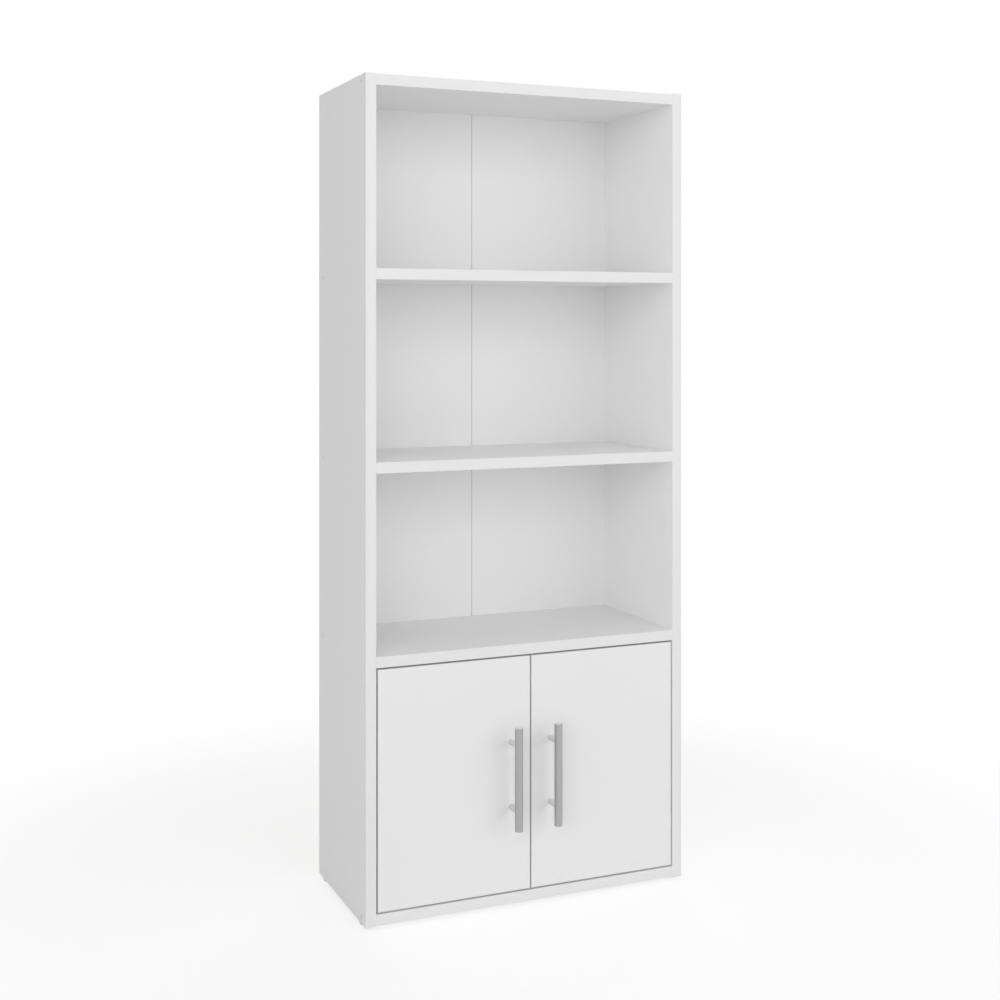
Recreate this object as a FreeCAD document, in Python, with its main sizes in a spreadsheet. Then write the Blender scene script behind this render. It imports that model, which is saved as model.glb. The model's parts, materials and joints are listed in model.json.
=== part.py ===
import FreeCAD, Part
import os
from types import SimpleNamespace

import Sketcher

# A tall bookcase with a two-door cabinet at its foot. Millimetres, +Z up, the front faces -Y.
# The origin lies on the floor, under the middle of the whole object with its handles.

Vector = FreeCAD.Vector
doc = FreeCAD.newDocument("bookcase")

# Driving dimensions. Each is one cell of the sheet, and every sub-part is bound to these cells.
DIMENSIONS = {
    # boards
    "width": 516,                   # over both side panels
    "depth": 235,                   # of a side panel, front edge to rear edge
    "board": 16,                    # thickness of every board and door
    "open_height": 262,             # clear height of each open compartment
    "cabinet_height": 352,          # clear height behind the doors
    "top_recess": 1,                # how far the sides stand above the top panel
    "foot_recess": 1,               # how far the sides stand below the bottom panel
    "band": 0.8,                    # thickness of the edge banding
    "band_round": 0.5,              # rounding of the banding's long outer edges
    # back
    "back_thickness": 3,
    "rebate_depth": 6,              # from the side's rear edge to the front of the back
    "rebate_width": 8,              # how far the back goes into the thickness of a side
    "back_clearance": 0.5,          # between a leaf's edges and the rebate or the outline
    "seam_gap": 0.6,                # between the two leaves
    "seam_offset": 2,               # seam to the left of the middle
    "tape_width": 30,
    "tape_thickness": 0.2,
    "pin_diameter": 1.4,
    "pin_length": 18,
    "pin_head_diameter": 3,
    "pin_head_height": 0.8,
    "pin_edge": 70,                 # first pin of a row to the nearest side or shelf
    "pin_pitch": 105,               # between the two pins of a row along a board
    "pin_inset": 4,                 # pins in a rebate to its outer wall
    "pin_overrun": 1,               # drilled beyond the pin's tip
    # joints between the boards
    "fixing_inset_front": 20,       # front row of screws and dowels, from the front edge
    "fixing_inset_rear": 21,        # rear row, from the side's rear edge
    "dowel_diameter": 8,
    "dowel_length": 30,
    "dowel_in_side": 12,            # depth of the dowel hole in a side
    "dowel_in_shelf": 20,           # depth of the dowel hole in a board's end
    "dowel_chamfer": 1,
    "hole_clearance": 0.1,          # on the radius of every hole round a screw, dowel, pin or cup
    "carcass_screw_head": 7,
    "carcass_screw_head_height": 3,
    "carcass_screw_shank": 5,
    "carcass_screw_length": 50,
    "socket_width": 4,              # across the corners of the hexagon socket
    "socket_depth": 2.2,
    # glides
    "glide_diameter": 16,
    "glide_height": 4,
    "glide_dome": 1.5,              # height of the rounded rim at the floor
    "glide_recess_diameter": 3.6,   # room for the nail's head
    "glide_recess_depth": 1.5,
    "glide_inset": 27,              # from the front edge and from the rear edge
    "nail_head_diameter": 3.2,
    "nail_head_height": 0.8,
    "nail_diameter": 1.6,
    "nail_length": 14,              # below its head
    # doors
    "gap": 2.5,                     # round each door and between the two
    # handles
    "bar_diameter": 12,
    "bar_length": 152,
    "bar_chamfer": 0.6,
    "bar_standoff": 29,             # bar's axis to the door's front face
    "bar_inset": 32,                # bar's axis to the middle of the cabinet
    "post_diameter": 8,
    "post_spacing": 96,
    "spigot_diameter": 5,
    "spigot_length": 4,
    "handle_screw_head": 8,
    "handle_screw_head_height": 2,
    "handle_screw_shank": 4,
    "handle_screw_length": 28,
    "handle_screw_overrun": 2,      # drilled beyond the screw's tip
    # hinges
    "hinge_inset": 70,              # hinge's middle to the door's top and bottom edges
    "pin_to_side": 17.5,            # hinge axis to the side's inner face
    "pin_to_front": 8,              # hinge axis to the door's front face
    "hinge_pin_diameter": 3,
    "hinge_pin_length": 29.8,
    "running_clearance": 0.05,      # on the radius, hinge pin in its eye
    "cup_offset": 7.5,              # cup's middle to the hinge axis
    "cup_diameter": 35,
    "cup_depth": 12.5,
    "cup_wall": 1,
    "flange_thickness": 1,
    "flange_rim": 2,                # flange beyond the cup, all round
    "ear_width": 14,
    "ear_span": 62,
    "ear_round": 5.5,
    "cup_screw_offset": 9.5,        # cup's middle to the line of its screws
    "cup_screw_spacing": 45,
    "eye_diameter": 5.6,
    "arm_width": 10,
    "arm_thickness": 1.8,
    "crank_radius": 19,             # bend of the arm round the door's corner
    "crank_start": 25,              # degrees, from the door's plane to the arm's first leg
    "crank_sweep": 45,              # degrees, length of the bend
    "arm_height": 10,               # arm's top to the side's inner face
    "arm_end": 62,                  # arm's rear end behind the hinge axis
    "cheek_start": 27,              # front end of the arm's cheeks behind the hinge axis
    "cheek_thickness": 1.2,
    "cheek_lift": 0.3,              # between the cheeks and the plate's wings
    "rail_clearance": 0.1,          # rail to cheek
    "wing_thickness": 2,
    "wing_width": 14,
    "wing_span": 50,
    "wing_round": 4,
    "plate_centre": 45,             # plate's wings behind the hinge axis
    "plate_screw_spacing": 32,
    "arm_screw_place": 54,          # clamping screw behind the hinge axis
    "arm_screw_head": 8,
    "arm_screw_head_height": 2,
    "arm_screw_shank": 5,
    "arm_screw_length": 8,
    "arm_slot": 8,                  # length of the slot round the clamping screw
    # small wood screws of the hinges and the catch
    "wood_screw_head": 6,
    "wood_screw_head_height": 1.4,
    "wood_screw_shank": 3.5,
    "wood_screw_length": 14,
    "cross_length": 3.6,            # cross recess of the screws
    "cross_width": 0.9,
    "cross_depth": 1,
    # magnetic catch
    "catch_width": 62,              # over its two ears
    "catch_body_width": 44,
    "catch_depth": 16,
    "catch_height": 18,
    "catch_ear_thickness": 3,
    "catch_round": 1.5,
    "catch_standoff": 0.8,          # pole plates stand this far out of the housing
    "catch_gap": 0.3,               # between the poles and the strike plates
    "magnet_width": 10,
    "magnet_height": 4,
    "magnet_depth": 11,
    "pole_thickness": 1.2,
    "catch_screw_spacing": 53,
    "strike_diameter": 14,
    "strike_thickness": 2,
    "strike_drop": 11,              # strike's middle below the lower shelf
    "strike_inset": 12,             # strike's middle to the middle of the cabinet
}

sheet = doc.addObject("Spreadsheet::Sheet", "Sizes")
for row, (name, value) in enumerate(DIMENSIONS.items(), start=1):
    sheet.set(f"A{row}", name)
    sheet.set(f"B{row}", str(value))
    sheet.setAlias(f"B{row}", name)
doc.recompute()


class Formula:
    """Text of a sheet formula, put together with ordinary arithmetic."""

    def __init__(self, text):
        self.text = str(text)

    def __str__(self):
        return self.text

    def __add__(self, other):
        return Formula(f"({self} + {other})")

    def __radd__(self, other):
        return Formula(f"({other} + {self})")

    def __sub__(self, other):
        return Formula(f"({self} - {other})")

    def __rsub__(self, other):
        return Formula(f"({other} - {self})")

    def __mul__(self, other):
        return Formula(f"({self} * {other})")

    __rmul__ = __mul__

    def __truediv__(self, other):
        return Formula(f"({self} / {other})")

    def __neg__(self):
        return Formula(f"(0 - {self})")


size = SimpleNamespace(**{name: Formula(f"Sizes.{name}") for name in DIMENSIONS})

LEFT = -1
RIGHT = 1
HAND_NAME = {LEFT: "left", RIGHT: "right"}
OPEN_COMPARTMENTS = 3
SAME_PLACE = 0.01                   # two points closer than this are one
SCREW_TIP_SHARE = 3                 # a screw's shank over its tip

# Places that several sub-parts share.
handle_reach = size.bar_standoff + size.bar_diameter / 2
front = (handle_reach - size.depth) / 2
rear = front + size.depth
inner = size.width / 2 - size.board
foot = size.glide_height
cabinet_floor = foot + size.foot_recess + size.board
cabinet_lid = cabinet_floor + size.cabinet_height
pitch = size.board + size.open_height
top_level = cabinet_lid + OPEN_COMPARTMENTS * pitch
side_top = top_level + size.board + size.top_recess
side_height = side_top - foot
back_front = rear - size.rebate_depth
door_width = (2 * inner - 3 * size.gap) / 2
door_height = size.cabinet_height - 2 * size.gap
door_foot = cabinet_floor + size.gap
door_middle = door_foot + door_height / 2
door_rear = front + size.board
hinge_x = inner - size.pin_to_side
hinge_y = front + size.pin_to_front
hinge_levels = {"lower": door_foot + size.hinge_inset,
                "upper": door_foot + door_height - size.hinge_inset}

# The horizontal boards from the bottom up: name, underside, and the row that holds the screw.
FRONT_ROW = front + size.fixing_inset_front
REAR_ROW = rear - size.fixing_inset_rear
BOARDS = [("bottom_panel", cabinet_floor - size.board, FRONT_ROW, REAR_ROW),
          ("lower_shelf", cabinet_lid, REAR_ROW, FRONT_ROW),
          ("middle_shelf", cabinet_lid + pitch, REAR_ROW, FRONT_ROW),
          ("upper_shelf", cabinet_lid + 2 * pitch, REAR_ROW, FRONT_ROW),
          ("top_panel", top_level, FRONT_ROW, REAR_ROW)]

ALONG = {"x": FreeCAD.Rotation(Vector(0, 0, 1), Vector(1, 0, 0)),
         "-x": FreeCAD.Rotation(Vector(0, 0, 1), Vector(-1, 0, 0)),
         "y": FreeCAD.Rotation(Vector(0, 0, 1), Vector(0, 1, 0)),
         "-y": FreeCAD.Rotation(Vector(0, 0, 1), Vector(0, -1, 0)),
         "z": FreeCAD.Rotation(),
         "-z": FreeCAD.Rotation(Vector(1, 0, 0), 180)}
HALF_TURN = FreeCAD.Rotation(Vector(0, 1, 0), 180)

sub_parts = []


def bind(item, **formulas):
    """Bind properties of an object to formulas."""
    for prop, formula in formulas.items():
        item.setExpression(prop, str(formula))
    return item


def place(item, x=0, y=0, z=0, turn=None):
    """Put an object's own origin at a point, turned by a fixed rotation."""
    if turn is not None:
        item.Placement = FreeCAD.Placement(Vector(), turn)
    for axis, formula in zip("xyz", (x, y, z)):
        item.setExpression(f".Placement.Base.{axis}", str(formula))
    return item


def keep(item, label):
    """Make an object one of the sub-parts that are written out."""
    item.Label = label
    sub_parts.append(item)
    return item


# Part primitives and booleans.

def block(name, x, y, z, dx, dy, dz):
    """A box from its low corner and its three sizes."""
    item = doc.addObject("Part::Box", name)
    bind(item, Length=dx, Width=dy, Height=dz)
    return place(item, x, y, z)


def rod(name, x, y, z, diameter, length, along="z"):
    """A cylinder that starts at a point and runs along an axis."""
    item = doc.addObject("Part::Cylinder", name)
    bind(item, Radius=Formula(diameter) / 2, Height=length)
    return place(item, x, y, z, ALONG[along])


def taper(name, z, low_diameter, high_diameter, length):
    """A cone frustum on the Z axis."""
    item = doc.addObject("Part::Cone", name)
    bind(item, Radius1=Formula(low_diameter) / 2, Radius2=Formula(high_diameter) / 2, Height=length)
    return place(item, 0, 0, z)


def join(name, pieces):
    """Pieces fused to one shape."""
    item = doc.addObject("Part::MultiFuse", name)
    item.Shapes = pieces
    return item


def cut(name, base, tools):
    """A shape less its tools."""
    item = doc.addObject("Part::Cut", name)
    item.Base = base
    item.Tool = tools[0] if len(tools) == 1 else join(name + "_tools", tools)
    return item


def group(label, pieces):
    """Identical fasteners, kept as separate solids of one sub-part."""
    item = doc.addObject("Part::Compound", label)
    item.Links = pieces
    return keep(item, label)


# PartDesign bodies.

def make_body(label):
    return doc.addObject("PartDesign::Body", label)


def sketch_on(body, plane, offset=0):
    """An empty sketch on an origin plane of a body, moved along that plane's normal."""
    sketch = body.newObject("Sketcher::SketchObject", body.Name + "_sketch")
    origin_plane = next(item for item in body.Origin.OriginFeatures if item.Role == plane)
    sketch.AttachmentSupport = [(origin_plane, "")]
    sketch.MapMode = "FlatFace"
    sketch.setExpression(".AttachmentOffset.Base.z", str(offset))
    return sketch


def drive(sketch, formula, kind, *where):
    """Add a dimension to a sketch and bind it to a formula."""
    number = sketch.addConstraint(Sketcher.Constraint(kind, *where, 1.0))
    sketch.setExpression(f"Constraints[{number}]", str(formula))


def circle(sketch, x, y, diameter):
    number = sketch.addGeometry(Part.Circle(Vector(), Vector(0, 0, 1), 1))
    drive(sketch, diameter, "Diameter", number)
    drive(sketch, x, "DistanceX", -1, 1, number, 3)
    drive(sketch, y, "DistanceY", -1, 1, number, 3)


def polygon(sketch, points):
    """A closed outline through points whose coordinates are formulas."""
    start = sketch.GeometryCount
    count = len(points)
    for step in range(count):
        ends = Vector(step, step % 2, 0), Vector(step + 1, (step + 1) % 2, 0)
        sketch.addGeometry(Part.LineSegment(*ends))
    for step, (x, y) in enumerate(points):
        before = start + (step - 1) % count
        sketch.addConstraint(Sketcher.Constraint("Coincident", before, 2, start + step, 1))
        drive(sketch, x, "DistanceX", -1, 1, start + step, 1)
        drive(sketch, y, "DistanceY", -1, 1, start + step, 1)


def rectangle(sketch, x, y, dx, dy):
    far_x = Formula(x) + dx
    far_y = Formula(y) + dy
    polygon(sketch, [(x, y), (far_x, y), (far_x, far_y), (x, far_y)])


def pad(body, sketch, length, backwards=False, centred=False):
    """Pad a sketch along its normal, against it, or to both sides."""
    item = body.newObject("PartDesign::Pad", body.Name + "_pad")
    item.Profile = sketch
    bind(item, Length=length)
    item.Reversed = backwards
    item.SideType = "Symmetric" if centred else "One side"
    return item


def pocket(body, sketch, length, backwards=False, centred=False):
    """Cut a sketch into a body against the sketch's normal, along it, or to both sides."""
    item = body.newObject("PartDesign::Pocket", body.Name + "_pocket")
    item.Profile = sketch
    bind(item, Length=length)
    item.Reversed = backwards
    item.SideType = "Symmetric" if centred else "One side"
    return item


def edges_where(body, test):
    """Names of the straight or round edges of a body's last feature that pass a test."""
    doc.recompute()
    return [f"Edge{number}" for number, edge in enumerate(body.Tip.Shape.Edges, start=1) if test(edge)]


def dress(body, kind, edges, **formulas):
    """Fillet or chamfer some edges of a body's last feature."""
    base = body.Tip
    item = body.newObject("PartDesign::" + kind, body.Name + "_" + kind.lower())
    item.Base = (base, edges)
    return bind(item, **formulas)


# Screws. Each lies below its own origin, at the top of its head, and points along -Z.

def cross_recess(name):
    low = -size.cross_depth
    tall = 2 * size.cross_depth
    bars = [block(name + "_bar", -size.cross_length / 2, -size.cross_width / 2, low,
                  size.cross_length, size.cross_width, tall),
            block(name + "_bar", -size.cross_width / 2, -size.cross_length / 2, low,
                  size.cross_width, size.cross_length, tall)]
    return join(name, bars)


def hexagon_socket(name):
    item = doc.addObject("Part::Prism", name)
    item.Polygon = 6
    bind(item, Circumradius=size.socket_width / 2, Height=2 * size.socket_depth)
    return place(item, 0, 0, -size.socket_depth)


def screw(kind, x, y, z, outward, recess=cross_recess):
    """A screw of a kind; outward is the way its head faces."""
    head, head_height, shank, length = [Formula(f"Sizes.{kind}_{what}")
                                        for what in ("head", "head_height", "shank", "length")]
    straight = length - head_height - shank
    solid = join(kind + "_solid", [rod(kind + "_head", 0, 0, -head_height, head, head_height),
                                   rod(kind + "_shank", 0, 0, -head_height - straight, shank, straight),
                                   taper(kind + "_tip", -length, shank / SCREW_TIP_SHARE, shank, shank)])
    return place(cut(kind, solid, [recess(kind + "_recess")]), x, y, z, ALONG[outward])


def screw_hole(kind, x, y, z, inward, length):
    """The hole for a screw's shank, from a surface inwards."""
    shank = Formula(f"Sizes.{kind}_shank")
    return rod(kind + "_hole", x, y, z, shank + 2 * size.hole_clearance, length, inward)


# Side panels: chipboard faced with white melamine, drilled for the board joints, the hinge plates
# and the glides, with a rebate at the rear inner edge for the back.

def board_joint_holes(hand):
    """Holes in a side panel for the screw and the dowel of every board."""
    holes = []
    inward = "-x" if hand == RIGHT else "x"
    outward = "x" if hand == RIGHT else "-x"
    outer_face = hand * size.width / 2
    head_hole = size.carcass_screw_head + 2 * size.hole_clearance
    for name, underside, screw_row, dowel_row in BOARDS:
        middle = underside + size.board / 2
        holes.append(screw_hole("carcass_screw", outer_face, screw_row, middle, inward, size.board))
        holes.append(rod("head_hole", outer_face, screw_row, middle, head_hole,
                         size.carcass_screw_head_height, inward))
        holes.append(rod("dowel_hole", hand * inner, dowel_row, middle,
                         size.dowel_diameter + 2 * size.hole_clearance, size.dowel_in_side, outward))
    return holes


def hinge_plate_holes(hand):
    outward = "x" if hand == RIGHT else "-x"
    depth = size.wood_screw_length - size.wing_thickness
    return [screw_hole("wood_screw", hand * inner, hinge_y + size.plate_centre,
                       level + step * size.plate_screw_spacing / 2, outward, depth)
            for level in hinge_levels.values() for step in (-1, 1)]


glide_rows = {"front": front + size.glide_inset, "rear": rear - size.glide_inset}


def nail_holes(hand):
    depth = size.glide_recess_depth + size.nail_length - size.glide_height + size.pin_overrun
    return [rod("nail_hole", hand * (size.width - size.board) / 2, row, foot,
                size.nail_diameter + 2 * size.hole_clearance, depth)
            for row in glide_rows.values()]


def compartment_pin_levels():
    """Two pins up each compartment, and so up each side's rebate."""
    floors = [cabinet_floor] + [underside + size.board for name, underside, screws, dowels in BOARDS[1:-1]]
    ceilings = [underside for name, underside, screws, dowels in BOARDS[1:]]
    levels = []
    for floor, ceiling in zip(floors, ceilings):
        levels += [floor + size.pin_edge, ceiling - size.pin_edge]
    return levels


pin_hole_diameter = size.pin_diameter + 2 * size.hole_clearance
pin_hole_depth = size.pin_length - size.pin_head_height - size.back_thickness + size.pin_overrun
side_pin_x = inner + size.rebate_width - size.pin_inset
board_pin_columns = [inner - size.pin_edge, inner - size.pin_edge - size.pin_pitch]


def pin_spots(hand):
    """Where the pins of one leaf of the back go: up the side's rebate and along every board."""
    spots = [(hand * side_pin_x, level) for level in compartment_pin_levels()]
    spots += [(hand * column, underside + size.board / 2)
              for name, underside, screws, dowels in BOARDS for column in board_pin_columns]
    return spots


def side_pin_holes(hand):
    return [rod("pin_hole", hand * side_pin_x, back_front, level, pin_hole_diameter, pin_hole_depth, "-y")
            for level in compartment_pin_levels()]


def rebate(hand):
    low_x = inner if hand == RIGHT else -inner - size.rebate_width
    return block("rebate", low_x, back_front, foot, size.rebate_width, size.rebate_depth, side_height)


def side_panel(hand):
    low_x = inner if hand == RIGHT else -size.width / 2
    blank = block("side_blank", low_x, front + size.band, foot,
                  size.board, size.depth - size.band, side_height - size.band)
    tools = [rebate(hand)] + board_joint_holes(hand) + hinge_plate_holes(hand)
    tools += nail_holes(hand) + side_pin_holes(hand)
    name = HAND_NAME[hand] + "_side"
    keep(cut(name, blank, tools), name)


for hand in (LEFT, RIGHT):
    side_panel(hand)


# The five horizontal boards between the sides, drilled at both ends and along the rear edge.

def board_end_holes(underside, screw_row, dowel_row):
    holes = []
    middle = underside + size.board / 2
    reach = size.carcass_screw_length - size.board
    for hand in (LEFT, RIGHT):
        inward = "-x" if hand == RIGHT else "x"
        holes.append(screw_hole("carcass_screw", hand * inner, screw_row, middle, inward, reach))
        holes.append(rod("dowel_hole", hand * inner, dowel_row, middle,
                         size.dowel_diameter + 2 * size.hole_clearance, size.dowel_in_shelf, inward))
    return holes


def board_pin_holes(underside):
    return [rod("pin_hole", hand * column, back_front, underside + size.board / 2, pin_hole_diameter,
                pin_hole_depth, "-y") for hand in (LEFT, RIGHT) for column in board_pin_columns]


catch_front = door_rear + size.strike_thickness + size.catch_gap + size.catch_standoff
catch_middle = catch_front + size.catch_depth / 2


def catch_screw_holes():
    """Pilot holes in the lower shelf for the two screws of the catch."""
    depth = size.wood_screw_length - size.catch_ear_thickness
    return [screw_hole("wood_screw", hand * size.catch_screw_spacing / 2, catch_middle, cabinet_lid,
                       "z", depth) for hand in (LEFT, RIGHT)]


for name, underside, screw_row, dowel_row in BOARDS:
    blank = block("board_blank", -inner, front + size.band, underside,
                  2 * inner, size.depth - size.rebate_depth - size.band, size.board)
    tools = board_end_holes(underside, screw_row, dowel_row) + board_pin_holes(underside)
    if name == "lower_shelf":
        tools += catch_screw_holes()
    keep(cut(name, blank, tools), name)


# Edge banding: thin strips glued on the edges that show, with their long outer edges rounded.

def edge_strip(name, outer, x, y, z, dx, dy, dz):
    """A strip of banding from its low corner. The long edges of its outer face, such as -y, are rounded."""
    body = make_body(name)
    sketch = sketch_on(body, "XY_Plane")
    rectangle(sketch, 0, 0, dx, dy)
    pad(body, sketch, dz)
    doc.recompute()
    box = body.Tip.Shape.BoundBox
    length = max(box.XLength, box.YLength, box.ZLength)
    axis = outer[-1]
    face = getattr(box, axis.upper() + ("Min" if outer.startswith("-") else "Max"))

    def long_outer_edge(edge):
        ends = [getattr(vertex.Point, axis) for vertex in edge.Vertexes]
        return abs(edge.Length - length) < SAME_PLACE and all(abs(end - face) < SAME_PLACE for end in ends)

    dress(body, "Fillet", edges_where(body, long_outer_edge), Radius=size.band_round)
    return place(body, x, y, z)


side_strips = []
for hand in (LEFT, RIGHT):
    side_x = inner if hand == RIGHT else -size.width / 2
    side_strips.append(edge_strip("side_front_strip", "-y", side_x, front, foot,
                                  size.board, size.band, side_height))
    top_strip = edge_strip("side_top_strip", "z", side_x, front + size.band, side_top - size.band,
                           size.board, size.depth - size.band, size.band)
    side_strips.append(cut("rebated_strip", top_strip, [rebate(hand)]))
group("side_edge_bands", side_strips)
group("shelf_edge_bands", [edge_strip(name + "_strip", "-y", -inner, front, underside,
                                      2 * inner, size.band, size.board)
                           for name, underside, screws, dowels in BOARDS])


# Back: two leaves of thin white hardboard, folded at the seam and taped behind it.

leaf_foot = foot + size.back_clearance
leaf_height = side_height - 2 * size.back_clearance
leaf_edge = inner + size.rebate_width - size.back_clearance
seam_left = -size.seam_offset - size.seam_gap / 2
seam_right = -size.seam_offset + size.seam_gap / 2


def back_leaf(hand):
    low_x = seam_right if hand == RIGHT else -leaf_edge
    high_x = leaf_edge if hand == RIGHT else seam_left
    sheet_blank = block("leaf_blank", low_x, back_front, leaf_foot,
                        high_x - low_x, size.back_thickness, leaf_height)
    holes = [rod("pin_hole", x, back_front, z, pin_hole_diameter, size.back_thickness, "y")
             for x, z in pin_spots(hand)]
    name = HAND_NAME[hand] + "_back_leaf"
    keep(cut(name, sheet_blank, holes), name)


for hand in (LEFT, RIGHT):
    back_leaf(hand)

back_rear = back_front + size.back_thickness
keep(block("back_tape", -size.seam_offset - size.tape_width / 2, back_rear, leaf_foot,
           size.tape_width, size.tape_thickness, leaf_height), "back_tape")


def back_pin(x, z):
    """A small wire pin, driven through the back into a board."""
    head = rod("pin_head", x, back_rear, z, size.pin_head_diameter, size.pin_head_height, "y")
    wire = rod("pin_wire", x, back_rear - size.pin_length + size.pin_head_height, z, size.pin_diameter,
               size.pin_length - size.pin_head_height, "y")
    return join("back_pin", [head, wire])


group("back_pins", [back_pin(x, z) for hand in (LEFT, RIGHT) for x, z in pin_spots(hand)])


# Board joints: one long screw and one beech dowel in each end of every board.

def dowel(x, y, z):
    """A dowel with chamfered ends, lying along X from its left end."""
    tip = size.dowel_diameter - 2 * size.dowel_chamfer
    straight = size.dowel_length - 2 * size.dowel_chamfer
    pieces = [taper("dowel_end", 0, tip, size.dowel_diameter, size.dowel_chamfer),
              rod("dowel_middle", 0, 0, size.dowel_chamfer, size.dowel_diameter, straight),
              taper("dowel_end", size.dowel_length - size.dowel_chamfer,
                    size.dowel_diameter, tip, size.dowel_chamfer)]
    return place(join("dowel", pieces), x, y, z, ALONG["x"])


carcass_screws = []
dowels = []
for name, underside, screw_row, dowel_row in BOARDS:
    middle = underside + size.board / 2
    for hand in (LEFT, RIGHT):
        outward = "x" if hand == RIGHT else "-x"
        carcass_screws.append(screw("carcass_screw", hand * size.width / 2, screw_row, middle, outward,
                                    hexagon_socket))
        outer_end = inner + size.dowel_in_side - size.dowel_chamfer
        low_end = outer_end - size.dowel_length if hand == RIGHT else -outer_end
        dowels.append(dowel(low_end, dowel_row, middle))
group("carcass_screws", carcass_screws)
group("carcass_dowels", dowels)


# Glides: four round plastic feet, each nailed up into the bottom edge of a side panel.

def glide(label, x, y):
    """A disc with a rounded rim at the floor, and a bore and a recess for its nail."""
    body = make_body(label)
    section = sketch_on(body, "XZ_Plane")
    bore = size.nail_diameter / 2 + size.hole_clearance
    recess = size.glide_recess_diameter / 2
    rim = size.glide_diameter / 2
    polygon(section, [(bore, size.glide_recess_depth), (bore, size.glide_height), (rim, size.glide_height),
                      (rim, size.glide_dome), (rim - size.glide_dome, 0), (recess, 0),
                      (recess, size.glide_recess_depth)])
    turned = body.newObject("PartDesign::Revolution", label + "_turned")
    turned.Profile = section
    turned.ReferenceAxis = (section, ["V_Axis"])
    place(body, x, y, 0)
    keep(body, label)


nails = []
for hand in (LEFT, RIGHT):
    for row_name, row in glide_rows.items():
        middle_x = hand * (size.width - size.board) / 2
        glide(f"{row_name}_{HAND_NAME[hand]}_glide", middle_x, row)
        seat = size.glide_recess_depth
        head = rod("nail_head", middle_x, row, seat - size.nail_head_height,
                   size.nail_head_diameter, size.nail_head_height)
        wire = rod("nail_wire", middle_x, row, seat, size.nail_diameter, size.nail_length)
        nails.append(join("glide_nail", [head, wire]))
group("glide_nails", nails)


# Doors: two boards inset between the sides, drilled for the hinge cups, the handle and the strike.

hinge_cup_x = hinge_x - size.cup_offset
cup_screw_x = hinge_cup_x - size.cup_screw_offset
handle_levels = [door_middle - size.post_spacing / 2, door_middle + size.post_spacing / 2]
strike_level = cabinet_lid - size.strike_drop
door_outer_edge = inner - size.gap


cup_screw_depth = size.wood_screw_length - size.flange_thickness
strike_screw_depth = size.wood_screw_length - size.strike_thickness + size.hole_clearance


def door_board(hand):
    low_x = size.gap / 2 if hand == RIGHT else -door_outer_edge
    blank = block("door_blank", low_x + size.band, front, door_foot + size.band,
                  door_width - 2 * size.band, size.board, door_height - 2 * size.band)
    tools = []
    for level in hinge_levels.values():
        tools.append(rod("cup_hole", hand * hinge_cup_x, door_rear, level,
                         size.cup_diameter + 2 * size.hole_clearance,
                         size.cup_depth + size.hole_clearance, "-y"))
        tools += [screw_hole("wood_screw", hand * cup_screw_x, door_rear,
                             level + step * size.cup_screw_spacing / 2, "-y", cup_screw_depth)
                  for step in (-1, 1)]
    tools += [screw_hole("handle_screw", hand * size.bar_inset, front, level, "y", size.board)
              for level in handle_levels]
    tools.append(screw_hole("wood_screw", hand * size.strike_inset, door_rear, strike_level, "-y",
                            strike_screw_depth))
    name = HAND_NAME[hand] + "_door"
    keep(cut(name, blank, tools), name)


for hand in (LEFT, RIGHT):
    door_board(hand)
    low_x = size.gap / 2 if hand == RIGHT else -door_outer_edge
    high_x = low_x + door_width - size.band
    strip_x = low_x + size.band
    top_z = door_foot + door_height - size.band
    group(HAND_NAME[hand] + "_door_edge_bands", [
        edge_strip("door_low_strip", "-x", low_x, front, door_foot, size.band, size.board, door_height),
        edge_strip("door_high_strip", "x", high_x, front, door_foot, size.band, size.board, door_height),
        edge_strip("door_foot_strip", "-z", strip_x, front, door_foot,
                   door_width - 2 * size.band, size.board, size.band),
        edge_strip("door_top_strip", "z", strip_x, front, top_z,
                   door_width - 2 * size.band, size.board, size.band)])


# Handles: an upright round bar of brushed steel on two round posts, screwed on from inside the door.

bar_y = front - size.bar_standoff
spigot_reach = size.spigot_length + size.hole_clearance


def handle_bar(hand):
    """The bar, with chamfered ends and a blind bore for each post's spigot."""
    name = HAND_NAME[hand] + "_handle_bar"
    body = make_body(name)
    section = sketch_on(body, "XY_Plane")
    circle(section, 0, 0, size.bar_diameter)
    pad(body, section, size.bar_length, centred=True)
    dress(body, "Chamfer", edges_where(body, lambda edge: len(edge.Vertexes) == 1), Size=size.bar_chamfer)
    bores = sketch_on(body, "XZ_Plane", -size.bar_diameter / 2)
    for step in (-1, 1):
        circle(bores, 0, step * size.post_spacing / 2, size.spigot_diameter + 2 * size.hole_clearance)
    pocket(body, bores, spigot_reach, backwards=True)
    keep(place(body, hand * size.bar_inset, bar_y, door_middle), name)


def handle_post(x, level):
    """A post with its spigot in the bar, coped to the bar's round and drilled for the screw."""
    spigot_start = bar_y + size.bar_diameter / 2 - size.spigot_length
    bore = size.handle_screw_length - size.board - size.handle_screw_head_height + size.handle_screw_overrun
    post = rod("post_rod", x, bar_y, level, size.post_diameter, size.bar_standoff, "y")
    bar_room = rod("bar_room", x, bar_y, level - size.post_diameter,
                   size.bar_diameter + size.hole_clearance, 2 * size.post_diameter)
    coped = cut("coped_post", post, [bar_room])
    spigot = rod("spigot", x, spigot_start, level, size.spigot_diameter,
                 size.spigot_length + size.post_diameter / 2, "y")
    screw_bore = screw_hole("handle_screw", x, front, level, "-y", bore)
    return cut("handle_post", join("post_solid", [coped, spigot]), [screw_bore])


for hand in (LEFT, RIGHT):
    handle_bar(hand)
    post_x = hand * size.bar_inset
    group(HAND_NAME[hand] + "_handle_posts", [handle_post(post_x, level) for level in handle_levels])
    group(HAND_NAME[hand] + "_handle_screws",
          [screw("handle_screw", post_x, door_rear + size.handle_screw_head_height, level, "y")
           for level in handle_levels])


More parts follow.
